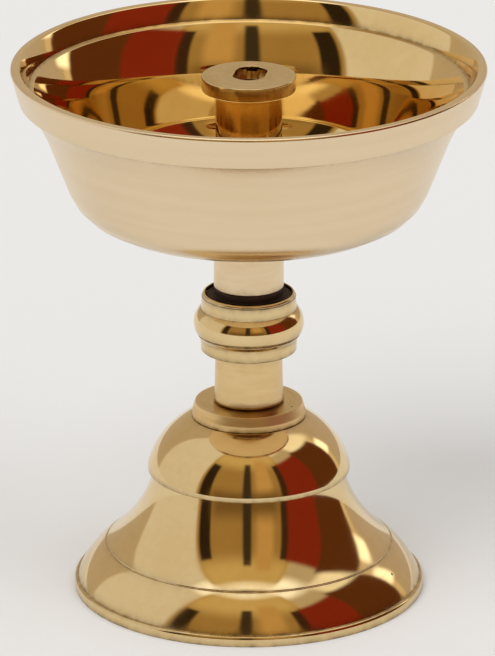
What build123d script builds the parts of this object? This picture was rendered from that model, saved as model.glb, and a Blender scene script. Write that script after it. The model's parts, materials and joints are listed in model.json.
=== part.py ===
from build123d import *
import os

# A butter lamp of turned brass: a bowl with a wick holder on a stacked, flared stand.
# Millimetres, +Z up. The origin is on the floor, on the lamp's axis.
# Every piece is turned about that axis, so outlines are drawn as (radius, height).

# Thread and fits
thread_radius = 4.0
thread_clearance = 0.06
rod_clearance = 0.25
spigot_clearance = 0.1
edge_break = 0.25

# Skirt: flared bell with a flat web across its top and a bead at the floor
skirt_height = 26.2
skirt_wall = 1.8
skirt_top_radius = 20.2
cove_end_radius = 30.6
cove_end_height = 9.8
cove_sag = 1.66
roll_end_radius = 36.6
foot_height = 2.3
foot_bead = 0.8
scribed_line = 0.2

# Dome: convex cap on the skirt, with a plain upright edge
dome_height = 12.2
dome_radius = 21.6
dome_wall = 2.4
dome_sag = 1.6
dome_edge = 1.15
dome_edge_round = 0.35
dome_seat_margin = 0.2

# Collar: flat disc with a broken upper edge
collar_height = 3.3
collar_radius = 12.1
collar_taper = 0.1
collar_bevel_height = 2.0
collar_bevel = 0.6

# Lower stem: taper that flares a little at its foot
lower_stem_length = 11.7
lower_stem_top_radius = 7.05
lower_stem_waist_radius = 7.3
lower_stem_foot_radius = 7.75
lower_stem_flare = 2.6

# Knop: grooved lower band, polished bead, upper band and a cup for the gasket
knop_height = 12.7
band_radius = 10.3
band_taper = 0.15
band_height = 2.7
shoulder_radius = 11.0
shoulder_height = 0.9
groove_depth = 0.3
groove_width = 0.6
bead_foot_radius = 11.3
bead_radius = 11.72
bead_rise = 1.8
bead_height = 5.2
neck_radius = 10.15
lip_radius = 9.85
lip_height = 0.7
lip_step = 0.15
lip_width = 0.5
cup_depth = 1.5

# Seat gasket: a flange in the cup and a collar under the bowl's stem
gasket_height = 2.8
gasket_flange = 1.0
gasket_clearance = 0.25
gasket_inset = 0.3

# Upper stem
upper_stem_length = 10.4
upper_stem_radius = 7.42

# Bowl: shallow floor, wall that thickens upwards, flared top, thick rim band and a ledge inside it
bowl_height = 38.5
bowl_wall = 1.7
bowl_seat_radius = 7.8
floor_edge_radius = 36.4
floor_edge_rise = 7.8
floor_sag = 1.0
floor_round = 11.0
inner_edge_shift = 0.3
inner_round = 12.0
throat_radius = 42.3
throat_drop = 15.3
throat_wall = 2.05
throat_lift = 1.0
rim_radius = 50.0
rim_round = 0.6
rim_lip = 1.8
rim_band_height = 6.8
rim_band_taper = 1.7
rim_band_step = 0.9
lip_bevel = 2.05
lip_depth = 4.2
lip_sag = 0.2
ledge_width = 1.0
ledge_drop = 0.3

# Bowl seal
seal_thickness = 0.8
seal_radius = 6.6

# Wick holder: flanged post with an oblong mouth, a bore and cross-drilled feed ports
holder_drop = 2.15
holder_flange_radius = 9.95
holder_flange_height = 3.0
post_radius = 7.0
wick_radius = 3.3
mouth_offset = 3.2
mouth_turn = 80.0
mouth_depth = 1.9
feed_rise = 6.0
feed_radius = 1.6

# Rod, nut and washer
thread_gap = 0.4
rod_tail = 2.0
rod_chamfer = 0.7
washer_radius = 9.0
washer_thickness = 1.6
nut_width = 13.0
nut_height = 6.5
nut_chamfer = 0.6

# Heights of the stack, from the floor up
web_foot = skirt_height - skirt_wall
nut_top = web_foot - washer_thickness
nut_foot = nut_top - nut_height
rod_foot = nut_foot - rod_tail
dome_top = skirt_height + dome_height
collar_top = dome_top + collar_height
knop_foot = collar_top + lower_stem_length
knop_top = knop_foot + knop_height
cup_floor = knop_top - cup_depth
stem_foot = cup_floor + gasket_height
bowl_seat = stem_foot + upper_stem_length
bowl_floor = bowl_seat + bowl_wall
bowl_rim = bowl_seat + bowl_height
post_foot = bowl_floor + seal_thickness
holder_top = bowl_rim - holder_drop
flange_foot = holder_top - holder_flange_height

# The rod and the wick holder's shank share the upper stem's thread
engagement = (upper_stem_length - thread_gap) / 2
rod_top = stem_foot + engagement
shank_foot = bowl_seat - engagement

# Holes that the rod and the shank go through
tapped_radius = thread_radius + thread_clearance
plain_radius = thread_radius + rod_clearance
cup_radius = lip_radius - lip_width
dome_bore_radius = dome_radius - dome_wall
spigot_radius = dome_bore_radius - spigot_clearance
spigot_height = dome_edge / 2

with BuildPart() as base_skirt:
    with BuildSketch(Plane.XZ):
        with BuildLine():
            web = Line((plain_radius, skirt_height), (skirt_top_radius, skirt_height))
            cove = SagittaArc(web @ 1, (cove_end_radius, cove_end_height), -cove_sag)
            roll = TangentArc(cove @ 1, (roll_end_radius, foot_height), tangent=cove % 1)
            Line(roll @ 1, (roll_end_radius, 0))
            offset(amount=skirt_wall, side=Side.RIGHT, kind=Kind.INTERSECTION)
        make_face()
        with BuildLine():
            foot_side = Polyline(
                (roll_end_radius - skirt_wall, 0),
                (roll_end_radius + foot_bead, 0),
                (roll_end_radius + foot_bead, foot_height - foot_bead),
            )
            foot_round = JernArc(foot_side @ 1, (0, 1), foot_bead, 90)
            Polyline(
                foot_round @ 1,
                (roll_end_radius - skirt_wall, foot_height),
                (roll_end_radius - skirt_wall, 0),
            )
        make_face()
        with Locations((cove_end_radius, cove_end_height)):
            Circle(scribed_line, mode=Mode.SUBTRACT)
    revolve()
    with BuildSketch(Plane.XY.offset(skirt_height)):
        Circle(spigot_radius)
        Circle(plain_radius, mode=Mode.SUBTRACT)
    extrude(amount=spigot_height)

with BuildPart() as base_dome:
    with BuildSketch(Plane.XZ):
        with BuildLine():
            seat = Line((plain_radius, dome_top), (collar_radius + dome_seat_margin, dome_top))
            crown = SagittaArc(seat @ 1, (dome_radius, skirt_height + dome_edge), dome_sag)
            Line(crown @ 1, (dome_radius, skirt_height))
            offset(amount=dome_wall, side=Side.RIGHT, kind=Kind.INTERSECTION)
        make_face()
    revolve()
    rim_edges = base_dome.edges().filter_by(GeomType.CIRCLE).group_by(Axis.Z)[0]
    fillet(rim_edges.sort_by(SortBy.RADIUS)[-1], dome_edge_round)

with BuildPart() as base_collar:
    with BuildSketch(Plane.XZ):
        with BuildLine():
            Polyline(
                (plain_radius, dome_top),
                (collar_radius, dome_top),
                (collar_radius - collar_taper, collar_top - collar_bevel_height),
                (collar_radius - collar_taper - collar_bevel, collar_top),
                (plain_radius, collar_top),
                close=True,
            )
        make_face()
    revolve()

with BuildPart() as lower_stem:
    with BuildSketch(Plane.XZ):
        with BuildLine():
            Line((plain_radius, collar_top), (lower_stem_foot_radius, collar_top))
            waist = (lower_stem_waist_radius, collar_top + lower_stem_flare)
            taper = Line((lower_stem_top_radius, knop_foot), waist)
            TangentArc(waist, (lower_stem_foot_radius, collar_top), tangent=taper % 1)
            Polyline(
                (lower_stem_top_radius, knop_foot),
                (plain_radius, knop_foot),
                (plain_radius, collar_top),
            )
        make_face()
    revolve()

with BuildPart() as knop:
    with BuildSketch(Plane.XZ):
        with BuildLine():
            groove_foot = knop_foot + band_height + shoulder_height
            groove_top = groove_foot + groove_width
            bead_top = (neck_radius, groove_top + bead_height)
            lip_foot = knop_top - lip_height
            Polyline(
                (tapped_radius, cup_floor),
                (tapped_radius, knop_foot),
                (band_radius - band_taper, knop_foot),
                (band_radius, knop_foot + band_height),
                (shoulder_radius, groove_foot),
                (shoulder_radius - groove_depth, groove_foot + groove_width / 2),
                (bead_foot_radius, groove_top),
            )
            ThreePointArc((bead_foot_radius, groove_top), (bead_radius, groove_top + bead_rise), bead_top)
            Polyline(
                bead_top,
                (lip_radius + lip_step, lip_foot),
                (lip_radius, lip_foot),
                (lip_radius, knop_top - lip_width),
            )
            lip_round = JernArc((lip_radius, knop_top - lip_width), (0, 1), lip_width, 90)
            Polyline(lip_round @ 1, (cup_radius, cup_floor), (tapped_radius, cup_floor))
        make_face()
    revolve()

with BuildPart() as seat_gasket:
    gasket_flange_radius = cup_radius - gasket_clearance
    gasket_collar_radius = upper_stem_radius - gasket_inset
    with BuildSketch(Plane.XZ):
        with BuildLine():
            Polyline(
                (plain_radius, cup_floor),
                (gasket_flange_radius, cup_floor),
                (gasket_flange_radius, cup_floor + gasket_flange),
                (gasket_collar_radius, cup_floor + gasket_flange),
                (gasket_collar_radius, stem_foot),
                (plain_radius, stem_foot),
                close=True,
            )
        make_face()
    revolve()

with BuildPart() as upper_stem:
    with BuildSketch(Plane.XY.offset(stem_foot)):
        Circle(upper_stem_radius)
        Circle(tapped_radius, mode=Mode.SUBTRACT)
    extrude(amount=upper_stem_length)
    stem_edges = upper_stem.edges().filter_by(GeomType.CIRCLE).group_by(Axis.Z)[0]
    chamfer(stem_edges.sort_by(SortBy.RADIUS)[-1], edge_break)

with BuildPart() as bowl:
    throat = (throat_radius, bowl_rim - throat_drop)
    floor_edge = (floor_edge_radius, bowl_seat + floor_edge_rise)
    band_foot = bowl_rim - rim_band_height
    flare_top = (rim_radius - rim_band_taper - rim_band_step, band_foot)
    inner_edge = (floor_edge_radius + inner_edge_shift, floor_edge[1] + bowl_wall)
    inner_throat = (throat_radius - throat_wall, throat[1] + throat_lift)
    rim_inside = (rim_radius - rim_lip, bowl_rim)
    lip_foot = (rim_inside[0] - lip_bevel, bowl_rim - lip_depth)
    ledge = (lip_foot[0] - ledge_width, lip_foot[1] - ledge_drop)
    with BuildSketch(Plane.XZ):
        with BuildLine() as bowl_line:
            pad = Line((plain_radius, bowl_seat), (bowl_seat_radius, bowl_seat))
            SagittaArc(pad @ 1, floor_edge, -floor_sag)
            wall = Line(floor_edge, throat)
            TangentArc(throat, flare_top, tangent=wall % 1)
            Polyline(
                flare_top,
                (rim_radius - rim_band_taper, band_foot),
                (rim_radius, bowl_rim - rim_round),
            )
            rim_curve = JernArc((rim_radius, bowl_rim - rim_round), (0, 1), rim_round, 90)
            Line(rim_curve @ 1, rim_inside)
            SagittaArc(rim_inside, lip_foot, -lip_sag)
            Line(lip_foot, ledge)
            inner_wall = Line(inner_edge, inner_throat)
            TangentArc(inner_throat, ledge, tangent=inner_wall % 1)
            inner_pad = Line((bowl_seat_radius, bowl_floor), (plain_radius, bowl_floor))
            SagittaArc(inner_pad @ 0, inner_edge, -floor_sag)
            Line(inner_pad @ 1, pad @ 0)
            fillet(bowl_line.vertices().sort_by_distance(floor_edge)[0], floor_round)
            fillet(bowl_line.vertices().sort_by_distance(inner_edge)[0], inner_round)
        make_face()
    revolve()

with BuildPart() as bowl_seal:
    with BuildSketch(Plane.XY.offset(bowl_floor)):
        Circle(seal_radius)
        Circle(plain_radius, mode=Mode.SUBTRACT)
    extrude(amount=seal_thickness)

with BuildPart() as wick_holder:
    with BuildSketch(Plane.XZ):
        with BuildLine():
            Polyline(
                (0, shank_foot),
                (thread_radius - rod_chamfer, shank_foot),
                (thread_radius, shank_foot + rod_chamfer),
                (thread_radius, post_foot),
                (post_radius, post_foot),
                (post_radius, flange_foot),
                (holder_flange_radius - edge_break, flange_foot),
                (holder_flange_radius, flange_foot + edge_break),
                (holder_flange_radius, holder_top - edge_break),
                (holder_flange_radius - edge_break, holder_top),
                (0, holder_top),
                close=True,
            )
        make_face()
    revolve()
    feed_height = post_foot + feed_rise
    with BuildSketch(Plane.XY.offset(holder_top)):
        Circle(wick_radius)
    extrude(amount=feed_height - holder_top, mode=Mode.SUBTRACT)
    with BuildSketch(Plane.XY.offset(holder_top)):
        with PolarLocations(mouth_offset / 2, 1, start_angle=mouth_turn):
            SlotCenterToCenter(mouth_offset, 2 * wick_radius)
    extrude(amount=-mouth_depth, mode=Mode.SUBTRACT)
    for drill_plane in (Plane.XZ, Plane.YZ):
        with BuildSketch(drill_plane):
            with Locations((0, feed_height)):
                Circle(feed_radius)
        extrude(amount=post_radius, both=True, mode=Mode.SUBTRACT)

with BuildPart() as tie_rod:
    with BuildSketch(Plane.XY.offset(rod_foot)):
        Circle(thread_radius)
    extrude(amount=rod_top - rod_foot)
    chamfer(tie_rod.edges().filter_by(GeomType.CIRCLE), rod_chamfer)

with BuildPart() as clamp_washer:
    with BuildSketch(Plane.XY.offset(nut_top)):
        Circle(washer_radius)
        Circle(plain_radius, mode=Mode.SUBTRACT)
    extrude(amount=washer_thickness)

with BuildPart() as clamp_nut:
    with BuildSketch(Plane.XY.offset(nut_foot)):
        RegularPolygon(nut_width / 2, 6, major_radius=False)
        Circle(tapped_radius, mode=Mode.SUBTRACT)
    extrude(amount=nut_height)
    nut_bore_edges = clamp_nut.edges().filter_by(GeomType.CIRCLE)
    chamfer(nut_bore_edges, nut_chamfer)

pieces = {
    "base_skirt": base_skirt,
    "base_dome": base_dome,
    "base_collar": base_collar,
    "lower_stem": lower_stem,
    "knop": knop,
    "seat_gasket": seat_gasket,
    "upper_stem": upper_stem,
    "bowl": bowl,
    "bowl_seal": bowl_seal,
    "wick_holder": wick_holder,
    "tie_rod": tie_rod,
    "clamp_washer": clamp_washer,
    "clamp_nut": clamp_nut,
}

os.makedirs("parts", exist_ok=True)
for name, piece in pieces.items():
    piece.part.label = name
    export_step(piece.part, f"parts/{name}.step")
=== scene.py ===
"""The looks of a footed brass butter lamp: turned meshes, procedural finishes and a plain studio."""
import json
import logging
import math
from collections.abc import Callable, Sequence
from dataclasses import dataclass, replace
from enum import Enum

import bmesh
import bpy
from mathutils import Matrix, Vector


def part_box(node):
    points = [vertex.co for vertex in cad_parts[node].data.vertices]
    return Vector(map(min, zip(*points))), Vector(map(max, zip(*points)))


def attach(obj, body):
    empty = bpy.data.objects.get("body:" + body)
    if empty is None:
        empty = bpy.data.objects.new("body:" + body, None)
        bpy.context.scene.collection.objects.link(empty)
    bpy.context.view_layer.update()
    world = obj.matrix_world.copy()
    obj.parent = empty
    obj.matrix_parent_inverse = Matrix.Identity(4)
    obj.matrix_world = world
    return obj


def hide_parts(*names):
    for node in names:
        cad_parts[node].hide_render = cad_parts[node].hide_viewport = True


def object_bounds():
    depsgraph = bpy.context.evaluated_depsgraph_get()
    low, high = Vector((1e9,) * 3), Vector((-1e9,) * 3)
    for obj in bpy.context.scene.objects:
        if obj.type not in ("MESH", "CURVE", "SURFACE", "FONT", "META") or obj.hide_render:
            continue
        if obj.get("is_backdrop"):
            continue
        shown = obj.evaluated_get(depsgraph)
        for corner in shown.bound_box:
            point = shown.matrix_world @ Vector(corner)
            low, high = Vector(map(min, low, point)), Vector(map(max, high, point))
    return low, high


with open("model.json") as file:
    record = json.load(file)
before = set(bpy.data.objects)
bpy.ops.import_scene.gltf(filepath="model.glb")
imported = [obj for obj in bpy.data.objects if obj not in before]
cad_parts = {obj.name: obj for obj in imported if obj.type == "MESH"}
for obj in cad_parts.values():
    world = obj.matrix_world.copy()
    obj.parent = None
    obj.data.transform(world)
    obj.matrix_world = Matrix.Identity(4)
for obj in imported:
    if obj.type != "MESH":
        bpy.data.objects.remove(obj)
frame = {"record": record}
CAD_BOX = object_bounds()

MM = 0.001
Colour = tuple[float, float, float]
Sample = tuple[Vector, Vector]
Ring = list[Vector]
Face = bpy.types.MeshPolygon
Socket = bpy.types.NodeSocket
Sockets = dict[str, Socket]

log = logging.getLogger("butter_lamp")


# Outlines: how finely they are divided, and how far rubbed brightness, soiling and painted shade reach from
# a corner

ARC_STEP = math.radians(2.5)
CORNER_STEP = math.radians(18)
SMOOTH_JOINT = math.radians(2)
EDGE_ROUND = 0.14 * MM
SUPPORT_DISTANCES = (0.12 * MM, 0.4 * MM, 1.0 * MM, 2.2 * MM)
LEAST_SPACING = 0.03 * MM
WEAR_REACH = 0.55 * MM
FULL_CORNER = math.radians(75)
FAINT_SHARE = 0.55
ROOM_AT_CORNER = 0.45


@dataclass(frozen=True)
class Straight:
    """A straight run of an outline, in (radius, height)."""

    start: Vector
    end: Vector

    @property
    def length(self) -> float:
        """Length of the run."""
        return (self.end - self.start).length

    def at(self, distance: float) -> Sample:
        """Point and heading at a distance from the start."""
        heading = (self.end - self.start).normalized()
        return self.start + heading * distance, heading

    def divisions(self, low: float, high: float) -> int:
        """How many equal steps the stretch from low to high needs."""
        return 1


@dataclass(frozen=True)
class Bend:
    """A circular run of an outline, counterclockwise where its sweep is positive."""

    centre: Vector
    radius: float
    first: float
    sweep: float

    @classmethod
    def between(cls, centre: Vector, start: Vector, end: Vector, left: bool) -> "Bend":
        """Join two points of a circle.

        Args:
            centre: centre of the circle.
            start: where the run begins.
            end: where the run ends.
            left: whether the run turns left, which is counterclockwise.

        Returns:
            The run from start to end.
        """
        first = math.atan2(start.y - centre.y, start.x - centre.x)
        last = math.atan2(end.y - centre.y, end.x - centre.x)
        sweep = (last - first) % math.tau if left else -((first - last) % math.tau)
        return cls(centre, (start - centre).length, first, sweep)

    @classmethod
    def sagging(cls, start: Vector, end: Vector, sag: float) -> "Bend":
        """Arc through two points that stands off their chord.

        Args:
            start: where the run begins.
            end: where the run ends.
            sag: greatest distance from the chord, positive to the right of travel.

        Returns:
            The arc from start to end.
        """
        chord = end - start
        right = Vector((chord.y, -chord.x)).normalized()
        radius = ((chord.length / 2) ** 2 + sag**2) / (2 * sag)
        centre = (start + end) / 2 + right * (sag - radius)
        return cls.between(centre, start, end, sag > 0)

    @classmethod
    def leaving(cls, start: Vector, heading: Vector, end: Vector) -> "Bend":
        """Arc that leaves a point along a heading and reaches another point.

        Args:
            start: where the run begins.
            heading: direction of travel at the start.
            end: where the run ends.

        Returns:
            The arc from start to end.
        """
        left = Vector((-heading.y, heading.x))
        chord = end - start
        reach = chord.length_squared / (2 * chord.dot(left))
        return cls.between(start + left * reach, start, end, reach > 0)

    @classmethod
    def quarter(cls, start: Vector, radius: float) -> "Bend":
        """Quarter circle that leaves a point upwards and turns left."""
        centre = start - Vector((radius, 0.0))
        return cls(centre, radius, 0.0, math.pi / 2)

    @property
    def length(self) -> float:
        """Length of the run."""
        return abs(self.sweep) * self.radius

    @property
    def start(self) -> Vector:
        """First point of the run."""
        return self.at(0.0)[0]

    @property
    def end(self) -> Vector:
        """Last point of the run."""
        return self.at(self.length)[0]

    def at(self, distance: float) -> Sample:
        """Find a point on the run.

        Args:
            distance: how far along the run it lies, from the start.

        Returns:
            The point and the heading there.
        """
        angle = self.first + math.copysign(distance / self.radius, self.sweep)
        spoke = Vector((math.cos(angle), math.sin(angle)))
        heading = Vector((-spoke.y, spoke.x)) * math.copysign(1.0, self.sweep)
        return self.centre + spoke * self.radius, heading

    def divisions(self, low: float, high: float) -> int:
        """How many equal steps the stretch from low to high needs."""
        return max(2, math.ceil((high - low) / self.radius / ARC_STEP))

    def part(self, low: float, high: float) -> "Bend":
        """The stretch of the run between two distances from its start."""
        side = math.copysign(1.0 / self.radius, self.sweep)
        return Bend(self.centre, self.radius, self.first + side * low, side * (high - low))

    def back(self) -> "Bend":
        """The same run, followed the other way."""
        return Bend(self.centre, self.radius, self.first + self.sweep, -self.sweep)

    def parallel(self, gap: float) -> "Bend":
        """The run moved to the right of travel by a gap."""
        radius = self.radius + gap * math.copysign(1.0, self.sweep)
        return Bend(self.centre, radius, self.first, self.sweep)

    def cut_to(self, first: float | None, last: float | None) -> "Bend":
        """Replace one or both of the end angles by the nearest equal angle.

        Args:
            first: new first angle, or None to keep it.
            last: new last angle, or None to keep it.

        Returns:
            The run with its new ends.
        """
        head = self.first
        tail = self.first + self.sweep
        if first is not None:
            head += math.remainder(first - head, math.tau)
        if last is not None:
            tail += math.remainder(last - tail, math.tau)
        return Bend(self.centre, self.radius, head, tail - head)

    def from_height(self, height: float) -> "Bend":
        """Begin the run where its circle crosses a height.

        Args:
            height: height of the new start.

        Returns:
            The run with its new start.
        """
        lift = math.asin((height - self.centre.y) / self.radius)
        options = (lift, math.pi - lift)
        nearest = min(options, key=lambda angle: abs(math.remainder(angle - self.first, math.tau)))
        return self.cut_to(nearest, None)

    def until_radius(self, radius: float) -> "Bend":
        """End the run where its circle crosses a distance from the axis.

        Args:
            radius: distance of the new end from the axis.

        Returns:
            The run with its new end.
        """
        swing = math.acos((radius - self.centre.x) / self.radius)
        last = self.first + self.sweep
        nearest = min((swing, -swing), key=lambda angle: abs(math.remainder(angle - last, math.tau)))
        return self.cut_to(None, nearest)


@dataclass(frozen=True)
class Row:
    """One circle of a turned surface.

    Attributes:
        radius: distance from the axis.
        height: height above the floor.
        facing: outward direction in (radius, height).
        edge: nearness to an outer corner, where handling keeps the metal bright.
        crevice: nearness to an inner corner or a seam, where soil collects and where painted shade darkens
            contact lines and undercuts.
    """

    radius: float
    height: float
    facing: Vector
    edge: float
    crevice: float


class Corner(Enum):
    """What a corner of an outline gathers: rubbed brightness, or soiling together with painted shade."""

    # Inner corners darken with soiling and with painted shade; outer corners stay bright
    BY_SHAPE = "bright where it stands out, dirty where it goes in"
    # A seam darkens with soiling and with the painted shade of the contact line between pieces
    SEAM = "dirty, because the piece meets another there"
    # A faint corner takes a weaker share of the same soiling and painted shade
    FAINT = "a little dirty, because it is rubbed clean"


class Outline:
    """The half section of a turned piece, drawn run by run in (radius, height)."""

    def __init__(self, radius: float, height: float) -> None:
        """Start the outline at a point.

        Args:
            radius: distance of the point from the axis.
            height: height of the point.
        """
        self._start = Vector((radius, height))
        self._here = self._start.copy()
        self._runs: list[Straight | Bend] = []
        self._rounds: list[float] = []
        self._corners: list[Corner] = []
        self.closed = False

    def _add(self, run: Straight | Bend, round_over: float, corner: Corner) -> "Outline":
        """Append a run with the corner at its end.

        Args:
            run: the run to append.
            round_over: radius of the corner.
            corner: what the corner gathers.

        Returns:
            The outline itself.
        """
        self._runs.append(run)
        self._rounds.append(round_over)
        self._corners.append(corner)
        self._here = run.at(run.length)[0]
        return self

    def to(self, radius: float, height: float, round_over: float = EDGE_ROUND,
           corner: Corner = Corner.BY_SHAPE) -> "Outline":
        """Go straight to a point.

        Args:
            radius: distance of the point from the axis.
            height: height of the point.
            round_over: radius of the corner there.
            corner: what the corner gathers.

        Returns:
            The outline itself.
        """
        return self._add(Straight(self._here, Vector((radius, height))), round_over, corner)

    def along(self, bend: Bend, round_over: float = EDGE_ROUND,
              corner: Corner = Corner.BY_SHAPE) -> "Outline":
        """Follow an arc, going straight to its start first where that lies elsewhere.

        Args:
            bend: the arc to follow.
            round_over: radius of the corner at its end.
            corner: what the corner gathers.

        Returns:
            The outline itself.
        """
        if (bend.start - self._here).length > LEAST_SPACING:
            self.to(*bend.start)
        return self._add(bend, round_over, corner)

    def swing(self, radius: float, height: float, round_over: float = EDGE_ROUND) -> "Outline":
        """Go to a point on an arc that leaves the last run smoothly.

        Args:
            radius: distance of the point from the axis.
            height: height of the point.
            round_over: radius of the corner there.

        Returns:
            The outline itself.
        """
        last = self._runs[-1]
        heading = last.at(last.length)[1]
        bend = Bend.leaving(self._here, heading, Vector((radius, height)))
        return self._add(bend, round_over, Corner.BY_SHAPE)

    def close(self, round_over: float = EDGE_ROUND, corner: Corner = Corner.BY_SHAPE) -> "Outline":
        """Go straight back to the first point, for a piece with a hole along its axis."""
        self.closed = True
        return self.to(*self._start, round_over, corner)

    def _turn_after(self, index: int) -> float:
        """Measure how far the outline turns at the end of a run.

        Args:
            index: number of the run.

        Returns:
            The angle, positive to the left.
        """
        run = self._runs[index]
        before = run.at(run.length)[1]
        after = self._runs[(index + 1) % len(self._runs)].at(0.0)[1]
        return math.atan2(before.cross(after), before.dot(after))

    @staticmethod
    def _stretch(run: Straight | Bend, low: float, high: float) -> list[Sample]:
        """Sample a run between two distances, closer together towards both ends.

        Args:
            run: the run to sample.
            low: distance of the first sample from the run's start.
            high: distance of the last sample.

        Returns:
            Points and headings.
        """
        steps = run.divisions(low, high)
        places = {low + (high - low) * step / steps for step in range(steps + 1)}
        for distance in SUPPORT_DISTANCES:
            if distance < (high - low) / 2:
                places |= {low + distance, high - distance}
        kept = [low]
        for place in sorted(places)[1:-1]:
            if place - kept[-1] > LEAST_SPACING and high - place > LEAST_SPACING:
                kept.append(place)
        return [run.at(place) for place in (*kept, high)]

    @staticmethod
    def _rounding(start: Sample, end: Sample, turn: float) -> list[Sample]:
        """Samples inside a rounded corner.

        Args:
            start: point and heading where the corner begins.
            end: point and heading where it ends.
            turn: angle between the two headings.

        Returns:
            Points and headings between the two.
        """
        (p0, t0), (p2, t2) = start, end
        apex = p0 + t0 * ((p2 - p0).cross(t2) / t0.cross(t2))
        weight = math.cos(turn / 2)
        steps = max(2, math.ceil(abs(turn) / CORNER_STEP))
        side = math.copysign(1.0, turn)
        samples = []
        for step in range(1, steps):
            u = step / steps
            blend = ((1 - u) ** 2, 2 * weight * u * (1 - u), u**2)
            point = (p0 * blend[0] + apex * blend[1] + p2 * blend[2]) / sum(blend)
            angle = side * abs(turn) * u
            heading = Vector((t0.x * math.cos(angle) - t0.y * math.sin(angle),
                              t0.x * math.sin(angle) + t0.y * math.cos(angle)))
            samples.append((point, heading))
        return samples

    def rows(self) -> list[Row]:
        """Work out the circles of the turned surface.

        Returns:
            The rows in counterclockwise order, so that the metal lies left of travel.
        """
        count = len(self._runs)
        ends = [[0.0, run.length] for run in self._runs]
        turns: dict[int, float] = {}
        for index in range(count if self.closed else count - 1):
            turn = self._turn_after(index)
            if abs(turn) < SMOOTH_JOINT:
                continue
            following = (index + 1) % count
            room = ROOM_AT_CORNER * min(self._runs[index].length, self._runs[following].length)
            setback = min(self._rounds[index] * math.tan(abs(turn) / 2), room)
            ends[index][1] -= setback
            ends[following][0] += setback
            turns[index] = turn
        samples: list[Sample] = []
        marks: list[tuple[int, float, Corner]] = []
        for index, run in enumerate(self._runs):
            stretch = self._stretch(run, *ends[index])
            if samples and (stretch[0][0] - samples[-1][0]).length < LEAST_SPACING:
                stretch = stretch[1:]
            samples += stretch
            if index in turns:
                following = (index + 1) % count
                after = self._runs[following].at(ends[following][0])
                corner = self._rounding(stretch[-1], after, turns[index])
                marks.append((len(samples) + len(corner) // 2, turns[index], self._corners[index]))
                samples += corner
        if self.closed and (samples[0][0] - samples[-1][0]).length < LEAST_SPACING:
            samples.pop()
        return self._finished(samples, marks)

    @staticmethod
    def _finished(samples: list[Sample], marks: list[tuple[int, float, Corner]]) -> list[Row]:
        """Turn samples into rows.

        Args:
            samples: points and headings round the outline.
            marks: index of the middle of each corner, its turn and what it gathers.

        Returns:
            The rows, counterclockwise.
        """
        points = [point for point, _ in samples]
        area = sum(a.cross(b) for a, b in zip(points, points[1:] + points[:1]))
        way = math.copysign(1.0, area)
        travelled = [0.0]
        for a, b in zip(points, points[1:]):
            travelled.append(travelled[-1] + (b - a).length)
        rows = []
        for place, (point, heading) in zip(travelled, samples):
            edge = crevice = 0.0
            for index, turn, corner in marks:
                gap = abs(place - travelled[min(index, len(travelled) - 1)])
                share = math.exp(-gap / WEAR_REACH) * min(1.0, abs(turn) / FULL_CORNER)
                # Inner corners and seams fill the mask of soiling and painted shade; outer corners fill the
                # mask of rubbed edges
                if corner is Corner.FAINT:
                    crevice = max(crevice, share * FAINT_SHARE)
                elif corner is Corner.SEAM or turn * way < 0:
                    crevice = max(crevice, share)
                else:
                    edge = max(edge, share)
            facing = Vector((heading.y, -heading.x)) * way
            rows.append(Row(point.x, point.y, facing, edge, crevice))
        return rows if way > 0 else rows[::-1]


# Meshes

SHARP_ANGLE = math.radians(28)
ON_AXIS = 1e-6
TINY_EDGE = 0.001 * MM


def ring(radius: float | Callable[[float], float], height: float, facets: int) -> Ring:
    """Points round the axis at one height.

    Args:
        radius: distance from the axis, or that distance as a function of the angle.
        height: height above the floor.
        facets: number of points.

    Returns:
        The points, or a single one where the radius is zero.
    """
    if not callable(radius):
        if radius < ON_AXIS:
            return [Vector((0.0, 0.0, height))]
        fixed = radius
        return ring(lambda angle: fixed, height, facets)
    angles = [math.tau * index / facets for index in range(facets)]
    return [Vector((radius(a) * math.cos(a), radius(a) * math.sin(a), height)) for a in angles]


def skin_rings(name: str, rings: Sequence[Ring], closed: bool) -> bpy.types.Mesh:
    """Cover a row of rings with faces.

    Args:
        name: name of the mesh.
        rings: rings of equal length, or of one point on the axis.
        closed: whether the last ring joins the first one.

    Returns:
        The mesh, with its faces turned outwards.
    """
    starts = [0]
    for points in rings:
        starts.append(starts[-1] + len(points))
    faces = []
    for low in range(len(rings) if closed else len(rings) - 1):
        high = (low + 1) % len(rings)
        below, above = len(rings[low]), len(rings[high])
        facets = max(below, above)
        for k in range(facets):
            nxt = (k + 1) % facets
            corners = [starts[low] + k % below, starts[low] + nxt % below,
                       starts[high] + nxt % above, starts[high] + k % above]
            faces.append(list(dict.fromkeys(corners)))
    mesh = bpy.data.meshes.new(name)
    mesh.from_pydata([point for points in rings for point in points], [], faces)
    mesh.shade_smooth()
    return mesh


def add_object(name: str, mesh: bpy.types.Mesh) -> bpy.types.Object:
    """Put a mesh into the scene.

    Args:
        name: name of the new object.
        mesh: its mesh.

    Returns:
        The object.
    """
    made = bpy.data.objects.new(name, mesh)
    bpy.context.scene.collection.objects.link(made)
    return made


def write_attribute(mesh: bpy.types.Mesh, name: str, values: Sequence[float]) -> None:
    """Store one number per vertex for the finishes to read."""
    mesh.attributes.new(name, "FLOAT", "POINT").data.foreach_set("value", values)


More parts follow.
